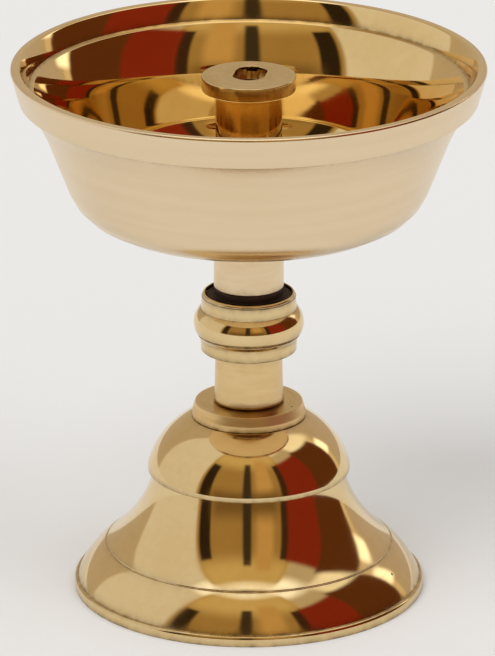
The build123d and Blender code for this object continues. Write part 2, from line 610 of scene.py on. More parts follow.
@dataclass(frozen=True)
class Lathe:
    """Turns outlines into smooth meshes.

    Attributes:
        facets: number of faces round the axis.
    """

    facets: int

    def turn(self, name: str, outline: Outline) -> bpy.types.Object:
        """Turn an outline about the lamp's axis.

        Args:
            name: name of the new object.
            outline: the half section.

        Returns:
            The object, with exact normals, and its rubbed edges, soiling and painted shade stored per
            vertex.
        """
        rows = outline.rows()
        rings = [ring(row.radius, row.height, self.facets) for row in rows]
        mesh = skin_rings(name, rings, outline.closed)
        normals = []
        edge = []
        crevice = []
        for row, points in zip(rows, rings):
            for point in points:
                out = point.to_2d().normalized() * row.facing.x
                normals.append((out.x, out.y, row.facing.y))
            edge += [row.edge] * len(points)
            crevice += [row.crevice] * len(points)
        mesh.normals_split_custom_set_from_vertices(normals)
        write_attribute(mesh, "edge", edge)
        # This mask paints soiling and also the shade of seams and undercuts
        write_attribute(mesh, "crevice", crevice)
        return add_object(name, mesh)


FINE = Lathe(facets=256)
MEDIUM = Lathe(facets=160)


@dataclass(frozen=True)
class ScrewThread:
    """A right-hand screw thread on a bar.

    Attributes:
        radius: radius over the crests.
        pitch: rise in one turn.
        depth: height of the thread.
        crest: share of the pitch that is flat crest.
        root: share of the pitch that is flat root.
        facets: number of faces in one turn.
    """

    radius: float
    pitch: float = 1.25 * MM
    depth: float = 0.72 * MM
    crest: float = 0.14
    root: float = 0.22
    facets: int = 48

    def bar(self, name: str, foot: float, top: float, chamfer: float) -> bpy.types.Object:
        """Make a threaded bar with chamfered ends.

        Args:
            name: name of the new object.
            foot: height of the lower end.
            top: height of the upper end.
            chamfer: size of the chamfer at both ends.

        Returns:
            The closed bar.
        """
        flank = (1 - self.crest - self.root) / 2
        low = self.radius - self.depth
        profile = ((0.0, self.radius), (self.crest, self.radius),
                   (self.crest + flank, low), (1 - flank, low))
        turns = math.ceil((top - foot) / self.pitch) + 2
        form = bmesh.new()
        columns: list[list[bmesh.types.BMVert]] = []
        for column in range(self.facets):
            angle = math.tau * column / self.facets
            vertices = []
            for turn in range(-1, turns):
                for phase, radius in profile:
                    height = foot + self.pitch * (turn + phase + column / self.facets - 1)
                    limit = self.radius - chamfer + max(0.0, min(height - foot, top - height))
                    reach = min(radius, limit)
                    point = (reach * math.cos(angle), reach * math.sin(angle), height)
                    vertices.append(form.verts.new(point))
            columns.append(vertices)
        per_turn = len(profile)
        for column, here in enumerate(columns):
            last = column == self.facets - 1
            there = columns[0][per_turn:] if last else columns[column + 1]
            for index in range(min(len(here), len(there)) - 1):
                form.faces.new((here[index], there[index], there[index + 1], here[index + 1]))
        for height, way in ((foot, -1.0), (top, 1.0)):
            cut = bmesh.ops.bisect_plane(form, geom=form.verts[:] + form.edges[:] + form.faces[:],
                                         plane_co=(0, 0, height), plane_no=(0, 0, way), clear_outer=True)
            rim = [part for part in cut["geom_cut"] if isinstance(part, bmesh.types.BMEdge)]
            bmesh.ops.holes_fill(form, edges=rim, sides=0)
        bmesh.ops.dissolve_degenerate(form, edges=form.edges[:], dist=TINY_EDGE)
        bmesh.ops.recalc_face_normals(form, faces=form.faces[:])
        mesh = bpy.data.meshes.new(name)
        form.to_mesh(mesh)
        form.free()
        mesh.shade_smooth()
        mesh.set_sharp_from_angle(angle=SHARP_ANGLE)
        return add_object(name, mesh)


class Join(Enum):
    """How a tool body changes a piece."""

    ADD = "UNION"
    CUT = "DIFFERENCE"


def shape_with(piece: bpy.types.Object, tool: bpy.types.Object, join: Join) -> None:
    """Add a tool body to a piece or cut it out, and remove the tool.

    Args:
        piece: the piece to change.
        tool: the closed body to add or cut out.
        join: which of the two.
    """
    modifier = piece.modifiers.new("shape", "BOOLEAN")
    modifier.operation = join.value
    modifier.object = tool
    modifier.solver = "EXACT"
    graph = bpy.context.evaluated_depsgraph_get()
    shaped = bpy.data.meshes.new_from_object(piece.evaluated_get(graph))
    piece.modifiers.clear()
    piece.data = shaped
    bpy.data.objects.remove(tool)


# Shader graphs

Value = float | Sequence[float] | Socket


class Graph:
    """A node tree with short calls for adding and joining nodes.

    Attributes:
        COLOUR_INPUTS: numbers of a mix node's two colour inputs.
        COLOUR_OUTPUT: number of its colour output.
    """

    COLOUR_INPUTS = (6, 7)
    COLOUR_OUTPUT = 2

    def __init__(self, tree: bpy.types.NodeTree) -> None:
        """Take the tree to draw in."""
        self.tree = tree

    def feed(self, socket: Socket, value: Value) -> None:
        """Link a socket to another socket, or set its own value.

        Args:
            socket: the input to feed.
            value: the socket to link, or the value to set.
        """
        if isinstance(value, Socket):
            self.tree.links.new(value, socket)
        else:
            socket.default_value = value

    def node(self, kind: str, inputs: dict[str | int, Value] | None = None,
             **settings: object) -> bpy.types.Node:
        """Add a node.

        Args:
            kind: the node's type.
            inputs: values or sockets by input name or number.
            settings: the node's own options.

        Returns:
            The new node.
        """
        made = self.tree.nodes.new(kind)
        for name, setting in settings.items():
            setattr(made, name, setting)
        for name, value in (inputs or {}).items():
            self.feed(made.inputs[name], value)
        return made

    def math(self, operation: str, a: Value, b: Value = 0.0, clamp: bool = False) -> Socket:
        """Work out a number from one or two others."""
        made = self.node("ShaderNodeMath", {0: a, 1: b}, operation=operation, use_clamp=clamp)
        return made.outputs[0]

    def ramp(self, value: Value, low: float, high: float) -> Socket:
        """Rise smoothly from 0 to 1 between two values."""
        made = self.node("ShaderNodeMapRange", {"Value": value, "From Min": low, "From Max": high},
                         interpolation_type="SMOOTHSTEP")
        return made.outputs["Result"]

    def mix(self, share: Value, a: Value, b: Value) -> Socket:
        """Mix two colours.

        Args:
            share: how much of the second colour shows.
            a: the first colour.
            b: the second colour.

        Returns:
            The mixed colour.
        """
        made = self.node("ShaderNodeMix", {"Factor": share}, data_type="RGBA", clamp_factor=True)
        for number, value in zip(self.COLOUR_INPUTS, (a, b)):
            self.feed(made.inputs[number], (*value, 1.0) if isinstance(value, tuple) else value)
        return made.outputs[self.COLOUR_OUTPUT]

    def noise(self, place: Value, scale: float, detail: float, depth: Value | None = None) -> Socket:
        """Draw cloudy noise about 0.5.

        Args:
            place: where the noise is read.
            scale: how fine it is.
            detail: how many finer layers it has.
            depth: a fourth coordinate, where there is one.

        Returns:
            The noise.
        """
        inputs: dict[str | int, Value] = {"Vector": place, "Scale": scale, "Detail": detail}
        if depth is None:
            return self.node("ShaderNodeTexNoise", inputs).outputs[0]
        inputs["W"] = depth
        return self.node("ShaderNodeTexNoise", inputs, noise_dimensions="4D").outputs[0]

    def place(self) -> Socket:
        """The point on the piece, in metres, fixed to the piece."""
        return self.node("ShaderNodeTexCoord").outputs["Object"]

    def stored(self, name: str) -> Socket:
        """A number stored per vertex."""
        return self.node("ShaderNodeAttribute", attribute_name=name).outputs["Fac"]


class Effect:
    """A shader node group that several finishes share."""

    name: str = ""
    inputs: tuple[str, ...] = ()
    outputs: tuple[str, ...] = ()

    def draw(self, graph: Graph, given: Sockets) -> Sockets:
        """Draw the group's nodes.

        Args:
            graph: the group's tree.
            given: the group's inputs by name.

        Returns:
            The sockets to put out, by name.
        """
        raise NotImplementedError

    def group(self) -> bpy.types.NodeTree:
        """Find the node group, or build it the first time that it is asked for.

        Returns:
            The node group.
        """
        found = bpy.data.node_groups.get(self.name)
        if found is not None:
            return found
        tree = bpy.data.node_groups.new(self.name, "ShaderNodeTree")
        for name in self.inputs:
            tree.interface.new_socket(name, in_out="INPUT", socket_type="NodeSocketFloat")
        for name in self.outputs:
            tree.interface.new_socket(name, in_out="OUTPUT", socket_type="NodeSocketFloat")
        graph = Graph(tree)
        entry = graph.node("NodeGroupInput")
        given = {name: entry.outputs[name] for name in self.inputs}
        graph.node("NodeGroupOutput", dict(self.draw(graph, given)))
        return tree

    def put(self, graph: Graph, **values: Value) -> Sockets:
        """Place the group in a material.

        Args:
            graph: the material's tree.
            values: the group's inputs, with their names in lower case.

        Returns:
            The group's outputs by name.
        """
        made = graph.node("ShaderNodeGroup", node_tree=self.group())
        for name in self.inputs:
            graph.feed(made.inputs[name], values[name.lower()])
        return {name: made.outputs[name] for name in self.outputs}


class TurnedLines(Effect):
    """Fine lines that a cutting tool or a buff leaves round the axis."""

    name = "turned_lines"
    inputs = ("Density", "Sweep")
    outputs = ("Lines",)

    def draw(self, graph: Graph, given: Sockets) -> Sockets:
        """Draw noise that is long round the axis and short across it.

        Args:
            graph: the group's tree.
            given: the group's inputs by name.

        Returns:
            The sockets to put out, by name.
        """
        place = graph.place()
        height = graph.node("ShaderNodeSeparateXYZ", {0: place}).outputs["Z"]
        flat = graph.node("ShaderNodeVectorMath", {0: place, 1: (1.0, 1.0, 0.0)}, operation="MULTIPLY")
        radius = graph.node("ShaderNodeVectorMath", {0: flat.outputs[0]}, operation="LENGTH")
        spoke = graph.node("ShaderNodeVectorMath", {0: flat.outputs[0]}, operation="NORMALIZE")
        round_axis = graph.node("ShaderNodeVectorMath", {0: spoke.outputs[0]}, operation="SCALE")
        graph.feed(round_axis.inputs["Scale"], given["Sweep"])
        parts = graph.node("ShaderNodeSeparateXYZ", {0: round_axis.outputs[0]})
        across = graph.math("MULTIPLY", radius.outputs["Value"], given["Density"])
        along = graph.math("MULTIPLY", height, given["Density"])
        spot = graph.node("ShaderNodeCombineXYZ", {0: parts.outputs["X"], 1: parts.outputs["Y"], 2: across})
        return {"Lines": graph.noise(spot.outputs[0], scale=1.0, detail=3.0, depth=along)}


class Patina(Effect):
    """Tarnish in clouds, soiling and painted shade in crevices and seams, and brightness on the edges."""

    name = "patina"
    inputs = ("Crevice", "Edge")
    outputs = ("Tarnish", "Grime", "Bright")
    cloud_share = 0.65
    grain_share = 0.35
    break_strength = 1.6
    break_offset = -0.15

    def draw(self, graph: Graph, given: Sockets) -> Sockets:
        """Break the stored masks of rubbed edges, soiling and painted shade up with noise.

        Args:
            graph: the group's tree.
            given: the group's inputs by name.

        Returns:
            The sockets to put out, by name.
        """
        place = graph.place()
        clouds = graph.noise(place, scale=85.0, detail=4.0)
        grain = graph.noise(place, scale=520.0, detail=3.0)
        coarse = graph.math("MULTIPLY", clouds, self.cloud_share)
        mixed = graph.math("ADD", coarse, graph.math("MULTIPLY", grain, self.grain_share))
        broken = graph.math("ADD", graph.math("MULTIPLY", grain, self.break_strength), self.break_offset)
        return {
            "Tarnish": graph.ramp(mixed, low=0.38, high=0.66),
            # Soiling, and painted shade at seams and undercuts, broken up by grain
            "Grime": graph.math("MULTIPLY", given["Crevice"], broken, clamp=True),
            "Bright": graph.math("MULTIPLY", given["Edge"], broken, clamp=True),
        }


class Smears(Effect):
    """Dull smears left by hands and a polishing cloth."""

    name = "smears"
    outputs = ("Smear",)

    def draw(self, graph: Graph, given: Sockets) -> Sockets:
        """Draw soft blots, stretched along a slant.

        Args:
            graph: the group's tree.
            given: the group's inputs by name; not used, as this group has none.

        Returns:
            The sockets to put out, by name.
        """
        turned = graph.node("ShaderNodeMapping", {"Vector": graph.place(), "Rotation": (0.5, 0.3, 0.2),
                                                  "Scale": (1.0, 1.0, 0.35)})
        blots = graph.noise(turned.outputs[0], scale=110.0, detail=3.0)
        return {"Smear": graph.ramp(blots, low=0.46, high=0.72)}


class Hairlines(Effect):
    """Short fine scratches in all directions."""

    name = "hairlines"
    outputs = ("Scratch",)
    tilts_and_scales = ((0.4, 95.0), (1.3, 140.0))
    slant = 0.7
    stretch = 0.22
    breaks_per_line = 4

    def draw(self, graph: Graph, given: Sockets) -> Sockets:
        """Draw thin contours of noise and break them into short strokes.

        Args:
            graph: the group's tree.
            given: the group's inputs by name; not used, as this group has none.

        Returns:
            The sockets to put out, by name.
        """
        place = graph.place()
        layers = []
        for tilt, scale in self.tilts_and_scales:
            slanted = graph.node("ShaderNodeMapping", {
                "Vector": place,
                "Rotation": (tilt, self.slant, tilt * 2),
                "Scale": (1.0, self.stretch, 1.0),
            }).outputs[0]
            height = graph.noise(slanted, scale, detail=0.0)
            gap = graph.math("ABSOLUTE", graph.math("SUBTRACT", height, 0.5))
            line = graph.math("SUBTRACT", 1.0, graph.ramp(gap, low=0.0005, high=0.004))
            patches = graph.noise(slanted, scale * self.breaks_per_line, detail=1.0)
            layers.append(graph.math("MULTIPLY", line, graph.ramp(patches, low=0.52, high=0.6)))
        return {"Scratch": graph.math("MAXIMUM", *layers)}


class Specks(Effect):
    """Small dark pits, scattered singly."""

    name = "specks"
    inputs = ("Share",)
    outputs = ("Speck",)

    def draw(self, graph: Graph, given: Sockets) -> Sockets:
        """Draw a dot in some of the cells of a scattered pattern.

        Args:
            graph: the group's tree.
            given: the group's inputs by name.

        Returns:
            The sockets to put out, by name.
        """
        cells = graph.node("ShaderNodeTexVoronoi", {"Vector": graph.place(), "Scale": 330.0})
        dot = graph.math("SUBTRACT", 1.0, graph.ramp(cells.outputs["Distance"], low=0.06, high=0.16))
        draw = graph.node("ShaderNodeSeparateColor", {0: cells.outputs["Color"]}).outputs[0]
        chosen = graph.math("LESS_THAN", draw, given["Share"])
        return {"Speck": graph.math("MULTIPLY", dot, chosen)}


class SpunRipple(Effect):
    """The slight waviness of spun and hand-buffed metal."""

    name = "spun_ripple"
    outputs = ("Height",)
    ring_share = 0.35

    def draw(self, graph: Graph, given: Sockets) -> Sockets:
        """Add broad dents to rings that wander round the axis.

        Args:
            graph: the group's tree.
            given: the group's inputs by name; not used, as this group has none.

        Returns:
            The sockets to put out, by name.
        """
        rings = TurnedLines().put(graph, density=260.0, sweep=1.6)["Lines"]
        dents = graph.noise(graph.place(), scale=75.0, detail=1.0)
        return {"Height": graph.math("ADD", graph.math("MULTIPLY", rings, self.ring_share), dents)}


TURNED_LINES = TurnedLines()
PATINA = Patina()
SMEARS = Smears()
HAIRLINES = Hairlines()
SPECKS = Specks()
SPUN_RIPPLE = SpunRipple()


# Finishes

def new_material(name: str) -> tuple[bpy.types.Material, Graph, bpy.types.Node]:
    """Start a material.

    Args:
        name: name of the material.

    Returns:
        The material, its graph and its shader.
    """
    made = bpy.data.materials.new(name)
    made.use_nodes = True
    graph = Graph(made.node_tree)
    shader = next(node for node in made.node_tree.nodes if node.type == "BSDF_PRINCIPLED")
    return made, graph, shader


def bump(graph: Graph, height: Value, distance: float,
         under: Socket | None = None) -> Socket:
    """Raise a surface in the shading.

    Args:
        graph: the material's graph.
        height: height between 0 and 1.
        distance: what a height of 1 measures, in metres.
        under: normal of a bump that lies under this one.

    Returns:
        The normal.
    """
    made = graph.node("ShaderNodeBump", {"Height": height, "Distance": distance, "Strength": 1.0})
    if under is not None:
        graph.feed(made.inputs["Normal"], under)
    return made.outputs[0]


@dataclass(frozen=True)
class Brass:
    """A brass finish.

    Attributes:
        name: name of the material.
        metal: colour of the clean metal.
        tarnish: colour of the tarnished metal.
        roughness: roughness of the clean metal.
        tarnish_share: how strongly the tarnish shows.
        line_density: turned lines per metre.
        line_depth: depth of the turned lines.
        line_shade: how much the lines change the roughness.
        line_tint: how strongly broader turned bands show the tarnish.
        ripple: depth of the waviness.
        smear: how much smears change the roughness.
        scratch: how much hairlines change the roughness.
        speck_share: share of spots that hold a dark pit.
        anisotropy: how far highlights stretch across the turned lines.
        grime: colour of the soiling and of the painted shade in crevices and seams.
        grime_share: how strongly the soiling and painted shade show.
        grime_roughness: how much the soiling and painted shade add to the roughness.
        bright: colour of the rubbed edges.
        bright_share: how strongly the rubbed edges show.
        lines_per_band: how many turned lines go into a broader band.
    """

    name: str
    metal: Colour
    tarnish: Colour
    roughness: float
    tarnish_share: float
    line_density: float
    line_depth: float
    line_shade: float
    line_tint: float
    ripple: float
    smear: float
    scratch: float
    speck_share: float
    anisotropy: float = 0.0
    # Near-black colour for soiling and for painted shade at seams and undercuts
    grime: Colour = (0.045, 0.022, 0.008)
    grime_share: float = 0.9
    grime_roughness: float = 0.4
    bright: Colour = (0.90, 0.74, 0.47)
    bright_share: float = 0.6
    lines_per_band: int = 3

    def material(self) -> bpy.types.Material:
        """Build the material.

        Returns:
            The finished material.
        """
        made, graph, shader = new_material(self.name)
        wear = PATINA.put(graph, crevice=graph.stored("crevice"), edge=graph.stored("edge"))
        lines = TURNED_LINES.put(graph, density=self.line_density, sweep=2.2)["Lines"]
        bands = TURNED_LINES.put(graph, density=self.line_density / self.lines_per_band, sweep=1.1)["Lines"]
        smear = SMEARS.put(graph)["Smear"]
        scratch = HAIRLINES.put(graph)["Scratch"]
        speck = SPECKS.put(graph, share=self.speck_share)["Speck"]
        dull = graph.math("MULTIPLY", wear["Tarnish"], self.tarnish_share)
        colour = graph.mix(dull, self.metal, self.tarnish)
        tinted = graph.math("MULTIPLY", graph.ramp(bands, low=0.35, high=0.72), self.line_tint)
        colour = graph.mix(tinted, colour, self.tarnish)
        colour = graph.mix(graph.math("MULTIPLY", wear["Bright"], self.bright_share), colour, self.bright)
        # Soiling and painted shade at crevices and seams, with dark pits, darken the colour
        dirt = graph.math("MAXIMUM", graph.math("MULTIPLY", wear["Grime"], self.grime_share), speck)
        graph.feed(shader.inputs["Base Color"], graph.mix(dirt, colour, self.grime))
        rough: Value = self.roughness
        for mask, strength in ((lines, self.line_shade), (smear, self.smear), (scratch, self.scratch)):
            rough = graph.math("ADD", rough, graph.math("MULTIPLY", mask, strength))
        rough = graph.math("ADD", rough, graph.math("MULTIPLY", dirt, self.grime_roughness), clamp=True)
        graph.feed(shader.inputs["Roughness"], rough)
        wavy = bump(graph, SPUN_RIPPLE.put(graph)["Height"], self.ripple)
        graph.feed(shader.inputs["Normal"], bump(graph, lines, self.line_depth, wavy))
        shader.inputs["Metallic"].default_value = 1.0
        if self.anisotropy:
            shader.inputs["Anisotropic"].default_value = self.anisotropy
            tangent = graph.node("ShaderNodeTangent", direction_type="RADIAL", axis="Z")
            graph.feed(shader.inputs["Tangent"], tangent.outputs[0])
        return made


@dataclass(frozen=True)
class Leather:
    """Dark oiled leather.

    Attributes:
        name: name of the material.
        hide: colour of the hide.
        worn: colour of rubbed spots.
        grain: size of the grain's cells.
        grain_depth: depth of the grain.
        rubbed: how far plain spots look rubbed.
        roughness: least roughness.
        mottling: how much the roughness varies.
        gloss: strength of the reflections.
    """

    name: str
    hide: Colour
    worn: Colour
    grain: float = 0.55 * MM
    grain_depth: float = 0.05 * MM
    rubbed: float = 0.25
    roughness: float = 0.42
    mottling: float = 0.3
    gloss: float = 0.25

    def material(self) -> bpy.types.Material:
        """Build the material.

        Returns:
            The finished material.
        """
        made, graph, shader = new_material(self.name)
        place = graph.place()
        cells = graph.node("ShaderNodeTexVoronoi", {"Vector": place, "Scale": 1 / self.grain},
                           feature="DISTANCE_TO_EDGE")
        pebble = graph.ramp(cells.outputs["Distance"], low=0.0, high=0.22)
        mottle = graph.noise(place, scale=380.0, detail=4.0)
        worn = graph.math("ADD", graph.stored("edge"), self.rubbed)
        rub = graph.math("MULTIPLY", worn, mottle, clamp=True)
        graph.feed(shader.inputs["Base Color"], graph.mix(rub, self.hide, self.worn))
        rough = graph.math("ADD", self.roughness, graph.math("MULTIPLY", mottle, self.mottling))
        graph.feed(shader.inputs["Roughness"], rough)
        shader.inputs["Specular IOR Level"].default_value = self.gloss
        fine = bump(graph, mottle, self.grain_depth)
        graph.feed(shader.inputs["Normal"], bump(graph, pebble, self.grain_depth, fine))
        return made


@dataclass(frozen=True)
class Steel:
    """Zinc-plated steel.

    Attributes:
        name: name of the material.
        plating: colour of the plating.
        dull: colour of its dull patches.
        roughness: least roughness.
        dulling: how much the dull patches add to it.
        line_depth: depth of the fine lines.
    """

    name: str
    plating: Colour
    dull: Colour
    roughness: float = 0.26
    dulling: float = 0.22
    line_depth: float = 0.003 * MM

    def material(self) -> bpy.types.Material:
        """Build the material.

        Returns:
            The finished material.
        """
        made, graph, shader = new_material(self.name)
        spangle = graph.node("ShaderNodeTexVoronoi", {"Vector": graph.place(), "Scale": 700.0})
        tone = graph.node("ShaderNodeSeparateColor", {0: spangle.outputs["Color"]}).outputs[0]
        clouds = graph.noise(graph.place(), scale=240.0, detail=3.0)
        share = graph.math("MULTIPLY", graph.math("ADD", tone, clouds), 0.5)
        graph.feed(shader.inputs["Base Color"], graph.mix(share, self.plating, self.dull))
        rough = graph.math("ADD", self.roughness, graph.math("MULTIPLY", share, self.dulling))
        graph.feed(shader.inputs["Roughness"], rough)
        lines = TURNED_LINES.put(graph, density=5200.0, sweep=3.0)["Lines"]
        graph.feed(shader.inputs["Normal"], bump(graph, lines, self.line_depth))
        shader.inputs["Metallic"].default_value = 1.0
        return made


POLISHED = Brass(
    "polished_brass", metal=(0.81, 0.62, 0.33), tarnish=(0.69, 0.48, 0.20), roughness=0.05,
    tarnish_share=0.3, line_density=2600.0, line_depth=0.0002 * MM, line_shade=0.03, line_tint=0.1,
    ripple=0.008 * MM, smear=0.04, scratch=0.05, speck_share=0.010,
)
SATIN = Brass(
    "satin_brass", metal=(0.82, 0.65, 0.425), tarnish=(0.74, 0.545, 0.30), roughness=0.18,
    tarnish_share=0.2, line_density=2400.0, line_depth=0.0008 * MM, line_shade=0.08, line_tint=0.45,
    ripple=0.0015 * MM, smear=0.0, scratch=0.02, speck_share=0.02, anisotropy=0.5,
)
GOLDEN_SATIN = replace(
    SATIN, name="golden_satin", metal=(0.79, 0.58, 0.295), tarnish=(0.69, 0.46, 0.20), roughness=0.21,
    tarnish_share=0.25,
)
COLLAR_SATIN = replace(
    SATIN, name="collar_satin", metal=(0.83, 0.59, 0.27), tarnish=(0.68, 0.42, 0.15), roughness=0.30,
    tarnish_share=0.3, line_density=2600.0, line_depth=0.0016 * MM, line_shade=0.14, line_tint=0.7,
)
BOWL_OUTSIDE = replace(
    SATIN, name="bowl_outside", metal=(0.83, 0.665, 0.45), tarnish=(0.77, 0.59, 0.36), roughness=0.21,
    tarnish_share=0.15, line_density=1500.0, line_depth=0.0006 * MM, line_shade=0.06, line_tint=0.36,
    speck_share=0.004, anisotropy=0.4,
)
BOWL_INSIDE = replace(
    POLISHED, name="bowl_inside", metal=(0.83, 0.63, 0.32), tarnish=(0.73, 0.49, 0.19), roughness=0.03,
    line_density=1300.0, line_depth=0.0003 * MM, line_shade=0.02, ripple=0.014 * MM, smear=0.03,
)
# The holder's metal is darker and less orange than the other polished brass, which paints part of the dim
# reflections and shade deep in the bowl
HOLDER_SIDE = replace(
    POLISHED, name="holder_side", metal=(0.72, 0.565, 0.33), tarnish=(0.55, 0.38, 0.17), roughness=0.04,
    tarnish_share=0.5, line_density=1900.0, line_depth=0.0008 * MM, line_shade=0.08, line_tint=0.4,
    ripple=0.006 * MM, smear=0.05, scratch=0.08, speck_share=0.03,
)
TURNED_FACE = replace(
    SATIN, name="turned_face", metal=(0.76, 0.585, 0.31), tarnish=(0.62, 0.43, 0.19), roughness=0.22,
    tarnish_share=0.5, line_density=3000.0, line_depth=0.0018 * MM, line_shade=0.14, line_tint=0.5,
    ripple=0.002 * MM, smear=0.03, scratch=0.04,
)
RAW_BRASS = Brass(
    "raw_brass", metal=(0.62, 0.44, 0.20), tarnish=(0.36, 0.23, 0.09), roughness=0.38,
    tarnish_share=0.8, line_density=900.0, line_depth=0.004 * MM, line_shade=0.15, line_tint=0.3,
    ripple=0.02 * MM, smear=0.1, scratch=0.10, speck_share=0.06,
)
LEATHER = Leather("dark_leather", hide=(0.020, 0.008, 0.005), worn=(0.085, 0.028, 0.014))
STEEL = Steel("zinc_plated_steel", plating=(0.66, 0.66, 0.63), dull=(0.46, 0.47, 0.48))

Finish = Brass | Leather | Steel


# Pieces

CLEAR_BORE = 4.25 * MM
TAPPED_BORE = 4.06 * MM
THREAD = 4.0 * MM
LOOKS_UP = 0.9
BODY_OF = {node: body for body, nodes in frame["record"]["behaviour"]["bodies"].items() for node in nodes}


@dataclass(frozen=True)
class Extent:
    """Where a node of the frame lies.

    Attributes:
        foot: lowest height.
        top: highest height.
        radius: largest radius.
    """

    foot: float
    top: float
    radius: float

    @classmethod
    def of(cls, node: str) -> "Extent":
        """Read a node's extent from the frame."""
        low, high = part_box(node)
        return cls(low[2], high[2], high[0])


class Dresser:
    """Gives each piece its finishes and its place in the frame."""

    def __init__(self) -> None:
        """Start with no materials."""
        self._made: dict[str, bpy.types.Material] = {}

    def _material(self, finish: Finish) -> bpy.types.Material:
        """Find the material of a finish, or build it the first time.

        Args:
            finish: the finish.

        Returns:
            Its material.
        """
        if finish.name not in self._made:
            self._made[finish.name] = finish.material()
        return self._made[finish.name]

    def dress(self, piece: bpy.types.Object, node: str, *finishes: Finish,
              choose: Callable[[Face], int] | None = None) -> None:
        """Finish a piece and let it stand for a node.

        Args:
            piece: the new mesh.
            node: the node that it stands for.
            finishes: its finishes, in the order of its material slots.
            choose: picks the number of a face's finish, where there are several.
        """
        piece.data.materials.clear()
        for finish in finishes:
            piece.data.materials.append(self._material(finish))
        if choose is not None:
            numbers = [choose(face) for face in piece.data.polygons]
            piece.data.polygons.foreach_set("material_index", numbers)
        body = BODY_OF[node]
        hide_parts(node)
        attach(piece, body)
        log.info("%s: %d faces, stands for %s on %s", piece.name, len(piece.data.polygons), node, body)


def outward(face: Face) -> float:
    """How far a face looks away from the axis, from -1 to 1."""
    return face.normal.to_2d().dot(face.center.to_2d().normalized())


def is_upper(face: Face) -> int:
    """1 for a face that looks up, and 0 for any other."""
    return int(face.normal.z > LOOKS_UP)


def flat_ring(extent: Extent, bore: float, edge_round: float) -> Outline:
    """Draw a flat ring.

    Args:
        extent: where the ring lies.
        bore: radius of its hole.
        edge_round: radius of its outer edges.

    Returns:
        Its half section.
    """
    outline = Outline(bore, extent.foot).to(extent.radius, extent.foot, edge_round)
    return outline.to(extent.radius, extent.top, edge_round).to(bore, extent.top).close()


